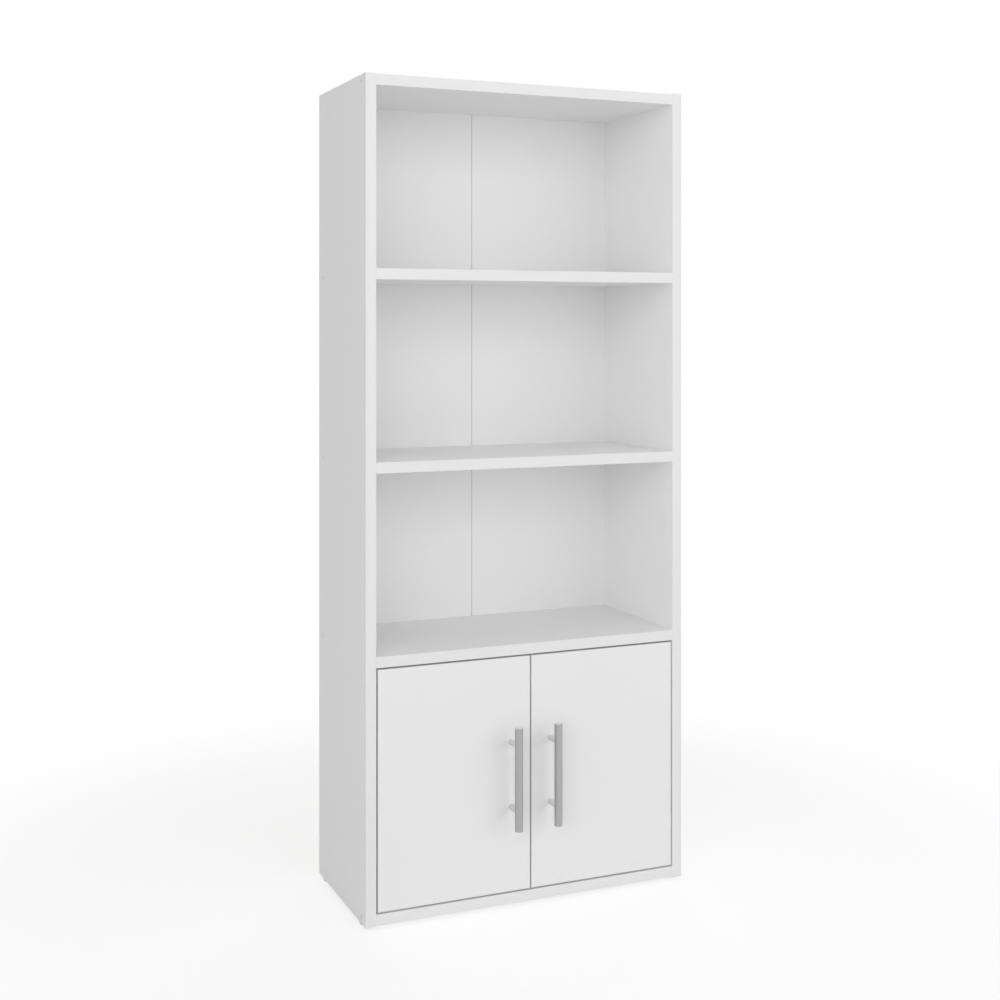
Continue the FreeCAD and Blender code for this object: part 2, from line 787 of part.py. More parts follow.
# Hinges: concealed cup hinges for inset doors, two on each door. A hinge is modelled in its own frame:
# origin on the pin's axis at mid-height, +X towards the door's free edge, +Y to the rear. It is
# symmetric about its middle height, so a half turn about Y makes the hinge of the right-hand door.

cup_rear = size.board - size.pin_to_front
arm_top = size.arm_height - size.pin_to_side
web_x = arm_top - size.arm_thickness / 2
rail_height = size.arm_height - size.arm_thickness
crank_end = size.crank_start + size.crank_sweep
cheek_inner = size.arm_width / 2 + size.rail_clearance
cheek_outer = cheek_inner + size.cheek_thickness


def sine(angle):
    return Formula(f"sin({angle} * 1 deg)")


def cosine(angle):
    return Formula(f"cos({angle} * 1 deg)")


bridge_length = (size.crank_radius * cosine(crank_end) - web_x) / sine(crank_end)
bend_y = size.crank_radius * sine(crank_end) + bridge_length * cosine(crank_end)


def place_hinge_piece(item, hand, level, label):
    item.Placement = FreeCAD.Placement(Vector(), HALF_TURN if hand == RIGHT else FreeCAD.Rotation())
    keep(place(item, hand * hinge_x, hinge_y, level), label)


def hinge_cup(hand, level, label):
    """The cup pressed into the door, with its flange and two screw ears."""
    body = make_body(label)
    shell = sketch_on(body, "XZ_Plane", -cup_rear)
    circle(shell, size.cup_offset, 0, size.cup_diameter)
    pad(body, shell, size.cup_depth)
    rim = sketch_on(body, "XZ_Plane", -cup_rear)
    circle(rim, size.cup_offset, 0, size.cup_diameter + 2 * size.flange_rim)
    pad(body, rim, size.flange_thickness, backwards=True)
    ears = sketch_on(body, "XZ_Plane", -cup_rear)
    rectangle(ears, size.cup_offset + size.cup_screw_offset - size.ear_width / 2, -size.ear_span / 2,
              size.ear_width, size.ear_span)
    pad(body, ears, size.flange_thickness, backwards=True)

    half_span = sheet.get("ear_span") / 2

    def at_ear_corner(edge):
        through_flange = edge.BoundBox.YLength > SAME_PLACE and edge.BoundBox.XLength < SAME_PLACE
        return through_flange and abs(abs(edge.BoundBox.Center.z) - half_span) < SAME_PLACE

    dress(body, "Fillet", edges_where(body, at_ear_corner), Radius=size.ear_round)
    hollow = sketch_on(body, "XZ_Plane", -cup_rear - size.flange_thickness)
    circle(hollow, size.cup_offset, 0, size.cup_diameter - 2 * size.cup_wall)
    pocket(body, hollow, size.cup_depth + size.flange_thickness - size.cup_wall, backwards=True)
    screws = sketch_on(body, "XZ_Plane", -cup_rear - size.flange_thickness)
    for step in (-1, 1):
        circle(screws, size.cup_offset + size.cup_screw_offset, step * size.cup_screw_spacing / 2,
               size.wood_screw_shank + 2 * size.hole_clearance)
    pocket(body, screws, size.flange_thickness, backwards=True)
    pin_bore = sketch_on(body, "XY_Plane")
    circle(pin_bore, 0, 0, size.hinge_pin_diameter + 2 * size.running_clearance)
    pocket(body, pin_bore, size.cup_diameter, centred=True)
    place_hinge_piece(body, hand, level, label)


def strip(name, x, y, angle, length):
    """A flat length of the arm's steel strip; its middle line starts at a point and runs at an angle."""
    half = size.arm_thickness / 2
    item = block(name, x + half * sine(angle), y - half * cosine(angle), -size.arm_width / 2,
                 length, size.arm_thickness, size.arm_width)
    item.Placement.Rotation = FreeCAD.Rotation(Vector(0, 0, 1), 1)
    item.setExpression(".Placement.Rotation.Angle", str(angle))
    return item


def sector(name, diameter):
    """A round slice through the arm's bend, about the hinge axis."""
    item = rod(name, 0, 0, -size.arm_width / 2, diameter, size.arm_width)
    item.setExpression("Angle", str(size.crank_sweep))
    item.Placement.Rotation = FreeCAD.Rotation(Vector(0, 0, 1), 1)
    item.setExpression(".Placement.Rotation.Angle", str(size.crank_start))
    return item


def arm_slot():
    """The slot round the clamping screw, which lets the door be set in depth."""
    width = size.arm_screw_shank + 2 * size.hole_clearance
    half_run = (size.arm_slot - width) / 2
    low_x = arm_top - size.arm_thickness
    pieces = [rod("slot_end", low_x, size.arm_screw_place + step * half_run, 0, width,
                  size.arm_thickness, "x") for step in (-1, 1)]
    pieces.append(block("slot_middle", low_x, size.arm_screw_place - half_run, -width / 2,
                        size.arm_thickness, 2 * half_run, width))
    return join("arm_slot", pieces)


def hinge_arm(hand, level, label):
    """The arm: an eye on the pin, a cranked strip and a channel that sits over the plate's rail."""
    low = -size.arm_width / 2
    cheek_x = size.wing_thickness + size.cheek_lift - size.pin_to_side
    channel = size.arm_end - size.cheek_start
    bend = cut("bend", sector("bend_outside", 2 * size.crank_radius + size.arm_thickness),
               [sector("bend_inside", 2 * size.crank_radius - size.arm_thickness)])
    pieces = [rod("eye", 0, 0, low, size.eye_diameter, size.arm_width),
              strip("leg", 0, 0, size.crank_start, size.crank_radius + size.arm_thickness / 2),
              bend,
              strip("bridge", size.crank_radius * cosine(crank_end), size.crank_radius * sine(crank_end),
                    crank_end + 90, bridge_length),
              rod("corner", web_x, bend_y, low, size.arm_thickness, size.arm_width),
              strip("web", web_x, bend_y, Formula(90), size.arm_end - bend_y),
              block("channel_top", arm_top - size.arm_thickness, size.cheek_start, -cheek_outer,
                    size.arm_thickness, channel, 2 * cheek_outer)]
    pieces += [block("cheek", cheek_x, size.cheek_start, low_z, arm_top - cheek_x, channel,
                     size.cheek_thickness) for low_z in (-cheek_outer, cheek_inner)]
    bore = rod("eye_bore", 0, 0, low, size.hinge_pin_diameter + 2 * size.running_clearance, size.arm_width)
    place_hinge_piece(cut("hinge_arm", join("arm_solid", pieces), [bore, arm_slot()]), hand, level, label)


def hinge_plate(hand, level, label):
    """The mounting plate: two wings screwed to the side and a rail for the arm."""
    body = make_body(label)
    wings = sketch_on(body, "YZ_Plane", -size.pin_to_side)
    rectangle(wings, size.plate_centre - size.wing_width / 2, -size.wing_span / 2,
              size.wing_width, size.wing_span)
    pad(body, wings, size.wing_thickness)

    def upright_to_side(edge):
        return edge.BoundBox.XLength > SAME_PLACE

    dress(body, "Fillet", edges_where(body, upright_to_side), Radius=size.wing_round)
    rail = sketch_on(body, "YZ_Plane", -size.pin_to_side)
    rectangle(rail, size.cheek_start, -size.arm_width / 2, size.arm_end - size.cheek_start, size.arm_width)
    pad(body, rail, rail_height)
    screws = sketch_on(body, "YZ_Plane", size.wing_thickness - size.pin_to_side)
    for step in (-1, 1):
        circle(screws, size.plate_centre, step * size.plate_screw_spacing / 2,
               size.wood_screw_shank + 2 * size.hole_clearance)
    pocket(body, screws, size.wing_thickness)
    thread = sketch_on(body, "YZ_Plane", rail_height - size.pin_to_side)
    circle(thread, size.arm_screw_place, 0, size.arm_screw_shank + 2 * size.hole_clearance)
    pocket(body, thread, size.arm_screw_length - size.arm_thickness)
    place_hinge_piece(body, hand, level, label)


def hinge_pin(hand, level, label):
    pin = doc.addObject("Part::Cylinder", label)
    bind(pin, Radius=size.hinge_pin_diameter / 2, Height=size.hinge_pin_length)
    keep(place(pin, hand * hinge_x, hinge_y, level - size.hinge_pin_length / 2), label)


plate_screws = []
arm_screws = []
for hand in (LEFT, RIGHT):
    cup_screws = []
    into_room = "x" if hand == LEFT else "-x"
    for level_name, level in hinge_levels.items():
        prefix = f"{HAND_NAME[hand]}_{level_name}_hinge"
        hinge_cup(hand, level, prefix + "_cup")
        hinge_arm(hand, level, prefix + "_arm")
        hinge_plate(hand, level, prefix + "_plate")
        hinge_pin(hand, level, prefix + "_pin")
        cup_screws += [screw("wood_screw", hand * cup_screw_x,
                             door_rear + size.flange_thickness + size.wood_screw_head_height,
                             level + step * size.cup_screw_spacing / 2, "y") for step in (-1, 1)]
        plate_screws += [screw("wood_screw",
                               hand * (inner - size.wing_thickness - size.wood_screw_head_height),
                               hinge_y + size.plate_centre,
                               level + step * size.plate_screw_spacing / 2, into_room) for step in (-1, 1)]
        arm_screws.append(screw("arm_screw", hand * (inner - size.arm_height - size.arm_screw_head_height),
                                hinge_y + size.arm_screw_place, level, into_room))
    group(HAND_NAME[hand] + "_cup_screws", cup_screws)
group("hinge_plate_screws", plate_screws)
group("hinge_arm_screws", arm_screws)


# Magnetic catch under the lower shelf. Its pole plates hold a strike plate on each door, and stop it.

cavity_height = size.magnet_height + 2 * size.pole_thickness + 2 * size.hole_clearance
cavity_width = size.magnet_width + 2 * size.hole_clearance


def catch_housing():
    """A plastic block with two screw ears and a cavity for each magnet."""
    body = make_body("catch_housing")
    plan = sketch_on(body, "XY_Plane", -size.catch_ear_thickness)
    rectangle(plan, -size.catch_width / 2, 0, size.catch_width, size.catch_depth)
    pad(body, plan, size.catch_ear_thickness)
    block_plan = sketch_on(body, "XY_Plane", -size.catch_height)
    rectangle(block_plan, -size.catch_body_width / 2, 0, size.catch_body_width, size.catch_depth)
    pad(body, block_plan, size.catch_height)
    height = sheet.get("catch_height")

    def low_edge(edge):
        return edge.BoundBox.ZLength < SAME_PLACE and abs(edge.BoundBox.ZMin + height) < SAME_PLACE

    dress(body, "Fillet", edges_where(body, low_edge), Radius=size.catch_round)
    cavities = sketch_on(body, "XZ_Plane")
    for hand in (LEFT, RIGHT):
        rectangle(cavities, hand * size.strike_inset - cavity_width / 2,
                  -size.strike_drop - cavity_height / 2, cavity_width, cavity_height)
    pocket(body, cavities, size.magnet_depth + size.hole_clearance)
    screws = sketch_on(body, "XY_Plane")
    for hand in (LEFT, RIGHT):
        circle(screws, hand * size.catch_screw_spacing / 2, size.catch_depth / 2,
               size.wood_screw_shank + 2 * size.hole_clearance)
    pocket(body, screws, size.catch_ear_thickness)
    keep(place(body, 0, catch_front, cabinet_lid), "catch_housing")


catch_housing()
magnets = []
pole_plates = []
for hand in (LEFT, RIGHT):
    low_x = hand * size.strike_inset - size.magnet_width / 2
    magnet_foot = strike_level - size.magnet_height / 2
    magnets.append(block("magnet", low_x, catch_front, magnet_foot,
                         size.magnet_width, size.magnet_depth, size.magnet_height))
    pole_plates += [block("pole_plate", low_x, catch_front - size.catch_standoff, low_z, size.magnet_width,
                          size.catch_standoff + size.magnet_depth, size.pole_thickness)
                    for low_z in (magnet_foot - size.pole_thickness, magnet_foot + size.magnet_height)]
group("catch_magnets", magnets)
group("catch_pole_plates", pole_plates)
group("catch_screws",
      [screw("wood_screw", hand * size.catch_screw_spacing / 2, catch_middle,
             cabinet_lid - size.catch_ear_thickness - size.wood_screw_head_height, "-z")
       for hand in (LEFT, RIGHT)])


def strike(hand):
    """A round steel plate let in for its screw, on the door's rear face."""
    x = hand * size.strike_inset
    disc = rod("strike_disc", x, door_rear, strike_level, size.strike_diameter, size.strike_thickness, "y")
    head_room = rod("strike_head_room", x, door_rear + size.strike_thickness, strike_level,
                    size.wood_screw_head + 2 * size.hole_clearance, size.wood_screw_head_height, "-y")
    shank_room = screw_hole("wood_screw", x, door_rear, strike_level, "y", size.strike_thickness)
    name = HAND_NAME[hand] + "_strike_plate"
    keep(cut(name, disc, [head_room, shank_room]), name)
    keep(screw("wood_screw", x, door_rear + size.strike_thickness, strike_level, "y"),
         HAND_NAME[hand] + "_strike_screw")


for hand in (LEFT, RIGHT):
    strike(hand)


# Every object and every sub-part is sound before anything is written.

doc.recompute()
failed = [item.Name for item in doc.Objects if "Invalid" in item.State or "Error" in item.State]
if failed:
    raise RuntimeError("these objects failed: " + ", ".join(failed))
for item in sub_parts:
    if item.Shape.isNull() or not item.Shape.isValid() or not item.Shape.Solids:
        raise RuntimeError(f"{item.Label} has no sound solid")

os.makedirs("parts", exist_ok=True)
for item in sub_parts:
    item.Shape.exportStep(f"parts/{item.Label}.step")
    print(f"{item.Label}: {len(item.Shape.Solids)} solid(s), {item.Shape.Volume:.1f} mm3")
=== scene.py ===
import json
import math

import bmesh
import bpy
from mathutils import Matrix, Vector

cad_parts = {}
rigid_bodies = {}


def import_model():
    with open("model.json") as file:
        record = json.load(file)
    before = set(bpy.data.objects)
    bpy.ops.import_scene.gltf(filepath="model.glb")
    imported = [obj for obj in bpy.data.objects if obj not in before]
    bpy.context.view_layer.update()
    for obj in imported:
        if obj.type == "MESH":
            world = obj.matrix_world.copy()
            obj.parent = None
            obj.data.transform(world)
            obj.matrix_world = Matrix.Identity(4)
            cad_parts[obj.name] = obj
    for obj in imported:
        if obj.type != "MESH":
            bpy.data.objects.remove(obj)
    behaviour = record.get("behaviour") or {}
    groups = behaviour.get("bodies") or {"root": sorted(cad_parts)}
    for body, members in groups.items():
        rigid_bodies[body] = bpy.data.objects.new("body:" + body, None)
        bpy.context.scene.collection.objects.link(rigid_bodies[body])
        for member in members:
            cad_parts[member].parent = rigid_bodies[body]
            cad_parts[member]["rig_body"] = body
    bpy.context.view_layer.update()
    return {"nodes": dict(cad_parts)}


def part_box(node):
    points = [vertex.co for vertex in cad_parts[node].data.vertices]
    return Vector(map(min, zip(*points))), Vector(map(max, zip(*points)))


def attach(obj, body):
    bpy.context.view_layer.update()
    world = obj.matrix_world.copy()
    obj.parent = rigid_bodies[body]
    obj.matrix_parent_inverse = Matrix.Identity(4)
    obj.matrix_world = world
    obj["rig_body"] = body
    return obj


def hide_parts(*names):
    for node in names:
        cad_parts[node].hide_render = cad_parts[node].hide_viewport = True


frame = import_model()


# Side panels. Each is one panel of chipboard faced on both sides with white melamine foil, sawn to size,
# rebated for the back and drilled. Its rear and bottom edges are left as the saw leaves them.

class Socket:
    """One output in a material. Arithmetic on it adds Math nodes to the same material."""

    def __init__(self, tree, output=None):
        self.tree = tree
        self.output = output

    def node(self, kind, settings=None, inputs=None, output=0):
        """Add a node: its settings first, then the value or the link of each socket."""
        made = self.tree.nodes.new("ShaderNode" + kind)
        for name, value in (settings or {}).items():
            setattr(made, name, value)
        for name, value in (inputs or {}).items():
            if isinstance(value, Socket):
                self.tree.links.new(value.output, made.inputs[name])
            else:
                made.inputs[name].default_value = value
        return Socket(self.tree, made.outputs[output] if made.outputs else None)

    def math(self, operation, first, second):
        return self.node("Math", {"operation": operation}, {0: first, 1: second})

    def __add__(self, other):
        return self.math("ADD", self, other)

    __radd__ = __add__

    def __sub__(self, other):
        return self.math("SUBTRACT", self, other)

    def __rsub__(self, other):
        return self.math("SUBTRACT", other, self)

    def __mul__(self, other):
        return self.math("MULTIPLY", self, other)

    __rmul__ = __mul__

    def __gt__(self, other):
        return self.math("GREATER_THAN", self, other)

    def __lt__(self, other):
        return self.math("LESS_THAN", self, other)

    def __abs__(self):
        return self.math("ABSOLUTE", self, 0)

    def between(self, first, second):
        """The first colour where this mask is 0, the second where it is 1."""
        # A Mix node takes colours in its sockets 6 and 7 and gives one in its output 2.
        return self.node("Mix", {"data_type": "RGBA"}, {0: self, 6: first, 7: second}, 2)

    def stretched(self, scale):
        """This place, measured with a different unit along each axis."""
        return self.node("VectorMath", {"operation": "MULTIPLY"}, {0: self, 1: scale})

    def along(self, axis):
        return self.node("SeparateXYZ", {}, {"Vector": self}, axis)

    def noise(self, grain, detail=2):
        """Soft noise whose lumps are about as large as the grain, in metres."""
        return self.node("TexNoise", {}, {"Vector": self, "Scale": 1 / grain, "Detail": detail}, "Fac")

    def relief(self, height, depth):
        """A surface direction for a height of 0 to 1 that stands for a depth in metres."""
        return self.node("Bump", {}, {"Height": height, "Distance": depth}, "Normal")

    def surface(self, **settings):
        """Close the material with one shader; names are the shader's, with _ for a space."""
        inputs = {name.replace("_", " "): value for name, value in settings.items()}
        shader = self.node("BsdfPrincipled", {}, inputs)
        self.node("OutputMaterial", {}, {"Surface": shader})


def new_finish(name):
    """An empty material, and a socket to start its nodes from."""
    finish = bpy.data.materials.new(name)
    finish.use_nodes = True
    finish.node_tree.nodes.clear()
    return finish, Socket(finish.node_tree)


def grey(level):
    return (level, level, level, 1)


def shades(mask, level, spread):
    """A grey that goes a share of its level above and below it."""
    return mask.between(grey(level * (1 - spread)), grey(level * (1 + spread)))


WHITE = 0.925
UNEVEN = 0.01
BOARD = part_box("middle_shelf")[1].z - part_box("middle_shelf")[0].z
FOIL = 0.00015
FOIL_ROUGHNESS = 0.40
FOIL_CLOUDS = 0.02
UNEVEN_GLOSS = 0.08
PEARL = 0.0009
CHIP_LENGTH = 0.004
CHIP_THICKNESS = 0.0007
CHIP_DARK = (0.33, 0.21, 0.115, 1)
CHIP_PALE = (0.66, 0.50, 0.33, 1)
CRACK_FROM = 0.62
CRACK_SHARE = 0.6
CRACK_BROWN = (0.16, 0.10, 0.05, 1)
SAWN_ROUGHNESS = 0.85
RELIEF = 0.00003


def faced_board(axis):
    """Finish of boards that are thick along one axis: foil on their two faces, chips on the sawn edges."""
    finish, start = new_finish("white_board_" + axis)
    place = start.node("TexCoord", output="Object")
    share = start.node("TexCoord", output="Generated").along(axis)
    faced = abs(share - 0.5) > 0.5 - FOIL / BOARD
    chip_size = [CHIP_THICKNESS if letter == axis else CHIP_LENGTH for letter in "XYZ"]
    cells = {"Vector": place.stretched([1 / size for size in chip_size]), "Scale": 1.0}
    chip = start.node("TexVoronoi", {}, cells, "Distance")
    tone = start.node("SeparateColor", {}, {"Color": start.node("TexVoronoi", {}, cells, "Color")}, "Red")
    sawn = ((chip > CRACK_FROM) * CRACK_SHARE).between(tone.between(CHIP_DARK, CHIP_PALE), CRACK_BROWN)
    pearl = place.noise(PEARL)
    cloud = place.noise(FOIL_CLOUDS, detail=3)
    smoother = cloud * UNEVEN_GLOSS - (SAWN_ROUGHNESS - FOIL_ROUGHNESS)
    start.surface(Base_Color=faced.between(sawn, shades(pearl, WHITE, UNEVEN)),
                  Roughness=SAWN_ROUGHNESS + faced * smoother,
                  Normal=start.relief(faced * (pearl - chip) + chip, RELIEF))
    return finish


def paint(finish, *nodes):
    """Give CAD pieces their finish."""
    for node in nodes:
        mesh = frame["nodes"][node].data
        mesh.materials.clear()
        mesh.materials.append(finish)


paint(faced_board("X"), "left_side", "right_side")


# Boards between the sides: five, cut from the same faced chipboard. The lowest is the cabinet's floor, the
# next one its lid, and the top one lies just below the tops of the sides.

paint(faced_board("Z"), "bottom_panel", "lower_shelf", "middle_shelf", "upper_shelf", "top_panel")


# Edge banding: thin white plastic strip, glued by machine to the edges that show and rounded over at its
# long edges. It is a shade darker than the foil and its grain is a little finer.

BAND_WHITE = 0.893
BAND_GRAIN = 0.0006
SKIN_RELIEF = 0.00001


def smooth_skin(name, dark, pale, roughness, rougher, grain):
    """Smooth plastic or lacquer, with a fine grain in its tone, its gloss and its relief."""
    finish, start = new_finish(name)
    skin = start.node("TexCoord", output="Object").noise(grain)
    start.surface(Base_Color=skin.between(grey(dark), grey(pale)), Roughness=roughness + rougher * skin,
                  Normal=start.relief(skin, SKIN_RELIEF))
    return finish


band_finish = smooth_skin("white_edging", BAND_WHITE * (1 - UNEVEN), BAND_WHITE * (1 + UNEVEN),
                          roughness=0.33, rougher=0.08, grain=BAND_GRAIN)
paint(band_finish, "side_edge_bands", "shelf_edge_bands")


# Back: one sheet of hardboard in two leaves, folded for the box. It is lacquered a clean white in front and
# is bare brown fibre behind, and it lies in a rebate in each side.

LACQUER_WHITE = 0.955
LACQUERED_SHARE = 0.05
ROLLER_GRAIN = 0.0016
FIBRES_PER_METRE = (300, 300, 900)
FIBRE_DARK = (0.17, 0.10, 0.055, 1)
FIBRE_PALE = (0.36, 0.245, 0.15, 1)
FIBRE_STAIN = (0.30, 0.20, 0.12, 1)
STAIN = 0.05
STAIN_SHARE = 0.5
FIBRE_ROUGHNESS = 0.80
LACQUER_ROUGHNESS = 0.45


def hardboard():
    finish, start = new_finish("white_hardboard")
    place = start.node("TexCoord", output="Object")
    lacquered = start.node("TexCoord", output="Generated").along("Y") < LACQUERED_SHARE
    fibre = place.stretched(FIBRES_PER_METRE).noise(1.0, detail=6)
    stain = place.noise(STAIN, detail=4) * STAIN_SHARE
    bare = stain.between(fibre.between(FIBRE_DARK, FIBRE_PALE), FIBRE_STAIN)
    roller = place.noise(ROLLER_GRAIN)
    start.surface(Base_Color=lacquered.between(bare, shades(roller, LACQUER_WHITE, UNEVEN)),
                  Roughness=FIBRE_ROUGHNESS - (FIBRE_ROUGHNESS - LACQUER_ROUGHNESS) * lacquered,
                  Normal=start.relief(lacquered * (roller - fibre) + fibre, RELIEF))
    return finish


paint(hardboard(), "left_back_leaf", "right_back_leaf")


# Tape over the fold, behind the back: pale cloth tape, pressed down by hand, with a few long creases. Its
# threads cross once each half millimetre.

THREAD = 0.0005
CREASES_PER_METRE = (40, 40, 220)
TAPE_DARK = (0.62, 0.58, 0.50, 1)
TAPE_PALE = (0.74, 0.71, 0.64, 1)
TAPE_THREAD = (0.44, 0.41, 0.35, 1)
THREAD_SHARE = 0.25
TAPE_RELIEF = 0.00005


def tape():
    finish, start = new_finish("back_tape")
    place = start.node("TexCoord", output="Object")
    crease = place.stretched(CREASES_PER_METRE).noise(1.0, detail=4)
    waves = [start.math("SINE", place.along(axis) * (math.pi / THREAD), 0) for axis in "XZ"]
    weave = waves[0] * waves[1] * 0.5 + 0.5
    shade = crease.between(TAPE_DARK, TAPE_PALE)
    start.surface(Base_Color=(weave * THREAD_SHARE).between(shade, TAPE_THREAD), Roughness=0.5,
                  Normal=start.relief(crease + weave, TAPE_RELIEF))
    return finish


paint(tape(), "back_tape")


# Back pins: bright steel wire, cut and headed in one blow. Each is driven through the back into a board or a
# side, and its domed head lies on the sheet.

WELD = 1e-6


def solids(node):
    """The lowest and highest corners of each separate solid of a CAD node, from the left to the right."""
    shape = bmesh.new()
    shape.from_mesh(frame["nodes"][node].data)
    bmesh.ops.remove_doubles(shape, verts=shape.verts, dist=WELD)
    loose = set(shape.verts)
    boxes = []
    while loose:
        reached = [loose.pop()]
        for vert in reached:
            beside = [edge.other_vert(vert) for edge in vert.link_edges]
            reached += [other for other in beside if other in loose]
            loose.difference_update(beside)
        corners = list(zip(*(vert.co for vert in reached)))
        boxes.append((Vector(map(min, corners)), Vector(map(max, corners))))
    shape.free()
    return sorted(boxes, key=lambda box: [round(value, ndigits=5) for value in (*box[0], *box[1])])


def of_each(node, add, **sizes):
    """One shape with a piece added for each separate solid of a CAD node."""
    shape = bmesh.new()
    for box in solids(node):
        add(shape, box, **sizes)
    return shape


def seat(low, high, outward):
    """A place in the middle of a box's outward end, with Z pointing outward."""
    outward = Vector(outward)
    half = (high - low) / 2
    end = (low + high) / 2 + Vector([direction * reach for direction, reach in zip(outward, half)])
    place = outward.to_track_quat("Z", "Y").to_matrix().to_4x4()
    place.translation = end
    return place


def turned(shape, profile, steps, place):
    """Add a round solid: its profile, as (radius, height) from the low end up, turned about Z.

    A radius of 0 makes a single point.
    """
    spokes = [math.tau * step / steps for step in range(steps)]
    rings = []
    for radius, height in profile:
        points = [(radius * math.cos(angle), radius * math.sin(angle), height)
                  for angle in (spokes if radius else spokes[:1])]
        rings.append([shape.verts.new(place @ Vector(point)) for point in points])
    for low, high in zip(rings, rings[1:]):
        for near in range(steps):
            far = (near + 1) % steps
            corners = [low[near % len(low)], low[far % len(low)],
                       high[far % len(high)], high[near % len(high)]]
            shape.faces.new(dict.fromkeys(corners))
    return rings[-1]


def to_rear(box):
    return (0, 1, 0)


NAIL_STEPS = 20
POINT_IN_RADII = 2.5


def nail(shape, box, outward, wire, thick, dome):
    """Add a pointed wire with a head. The dome is the head's outline, in shares across and down it."""
    low, high = box
    length = abs(Vector(outward(box)).dot(high - low))
    head = (high.x - low.x) / 2
    profile = [(0, -length), (wire, POINT_IN_RADII * wire - length), (wire, -thick)]
    profile += [(across * head, -down * thick) for across, down in dome]
    turned(shape, profile, NAIL_STEPS, seat(low, high, outward(box)))


ROUND_TO = math.cos(math.radians(50))


def shaded(mesh):
    """Shade rounded edges round and flat faces flat: at each corner the larger faces set the direction."""
    around = [[] for vert in mesh.vertices]
    for face in mesh.polygons:
        face.use_smooth = True
        for vert in face.vertices:
            around[vert].append(face)
    directions = []
    for face in mesh.polygons:
        for vert in face.vertices:
            near = [other for other in around[vert] if other.normal.dot(face.normal) > ROUND_TO]
            directions.append(sum((other.normal * other.area for other in near), Vector()).normalized())
    mesh.normals_split_custom_set(directions)


def show(name, shape, finish, slot, *nodes):
    """Make a finished shape a piece that stands for CAD nodes and moves with them."""
    bmesh.ops.recalc_face_normals(shape, faces=shape.faces)
    mesh = bpy.data.meshes.new(name)
    shape.to_mesh(mesh)
    shape.free()
    shaded(mesh)
    mesh.materials.append(finish)
    piece = bpy.data.objects.new(name, mesh)
    bpy.context.scene.collection.objects.link(piece)
    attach(piece, frame["nodes"][nodes[0]]["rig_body"])
    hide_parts(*nodes)


DULLER = 0.96
SCUFF_ROUGHNESS = 0.05
METAL_CLOUDS = 0.004
METAL_RELIEF = 0.0000005


def metal(name, level, roughness, grain=0.0004):
    """Plain bright metal with fine scuffs and slightly uneven tone."""
    finish, start = new_finish(name)
    place = start.node("TexCoord", output="Object")
    scuffs = place.noise(grain, detail=3)
    cloud = place.noise(METAL_CLOUDS)
    start.surface(Base_Color=cloud.between(grey(level * DULLER), grey(level)), Metallic=1.0,
                  Roughness=roughness + SCUFF_ROUGHNESS * scuffs, Normal=start.relief(scuffs, METAL_RELIEF))
    return finish


wire_finish = metal("bright_wire", level=0.6, roughness=0.28)
pins = of_each("back_pins", nail, outward=to_rear, wire=0.0007, thick=0.0008,
               dome=((1, 1), (1, 0.6), (0.85, 0.3), (0.5, 0.07), (0, 0)))
show("pins_of_the_back", pins, wire_finish, "bright_wire", "back_pins")


# Board joints: a long steel screw, lacquered white, goes through the side into each end of every board. Its
# head is flush with the side and has a hexagon socket.

SOCKET_ACROSS = 0.004
SCREW_STEPS = 28
TIP_RADIUS = 0.3
TIP_LENGTH = 0.9
ROOT = 0.72
CREST_FROM = 0.35
CREST_TO = 0.45
ROOT_FROM = 0.8


def arc(middle, radius, start, end, steps=4):
    """Points of a rounded corner in a profile, from one angle in degrees to another."""
    angles = [math.radians(start + (end - start) * step / steps) for step in range(steps + 1)]
    return [(middle[0] + radius * math.cos(angle), middle[1] + radius * math.sin(angle)) for angle in angles]


def hexagon(across_corners):
    """Outline of a hexagon socket: six corners, each 60 degrees on from the last."""
    return arc((0, 0), across_corners / 2, 0, 300, steps=5)


def recessed(shape, ring, outline, depth, narrowing, place):
    """Close a screw's head inside its last ring: a flat face with a recess of a given outline."""
    rim = [shape.verts.new(place @ Vector((x, y, 0))) for x, y in outline]
    sunk = [shape.verts.new(place @ Vector((x * narrowing, y * narrowing, -depth))) for x, y in outline]
    for near in range(len(outline)):
        far = (near + 1) % len(outline)
        shape.faces.new((rim[near], rim[far], sunk[far], sunk[near]))
    shape.faces.new(sunk)
    edges = [shape.edges.get((loop[near - 1], loop[near])) or shape.edges.new((loop[near - 1], loop[near]))
             for loop in (ring, rim) for near in range(len(loop))]
    bmesh.ops.triangle_fill(shape, edges=edges, use_beauty=True)


def screw(shape, box, outward, head_height, shank, plain, pitch, crown, outline, depth, narrowing=1.0):
    """Add a screw that fills a solid's box: a head with a crown and a recess, a plain neck and a thread.

    The tip and the thread are drawn in shares of the shank's radius and of the pitch.
    """
    low, high = box
    place = seat(low, high, outward(box))
    sizes = high - low
    length = sum(abs(direction) * size for direction, size in zip(outward(box), sizes))
    head = max(size for direction, size in zip(outward(box), sizes) if direction == 0) / 2
    turns = int((length - head_height - plain - 2 * shank) / pitch)
    profile = [(0, -length), (TIP_RADIUS * shank, TIP_LENGTH * shank - length)]
    start = -head_height - plain - turns * pitch
    for turn in range(turns):
        foot = start + turn * pitch
        profile += [(ROOT * shank, foot), (shank, foot + CREST_FROM * pitch),
                    (shank, foot + CREST_TO * pitch), (ROOT * shank, foot + ROOT_FROM * pitch)]
    profile += [(shank, -head_height - plain), (shank, -head_height), (head, -head_height)]
    profile += arc((head - crown, -crown), crown, 0, 90)
    recessed(shape, turned(shape, profile, SCREW_STEPS, place), outline, depth, narrowing, place)


def out_of_side(box):
    return (math.copysign(1, box[0].x), 0, 0)


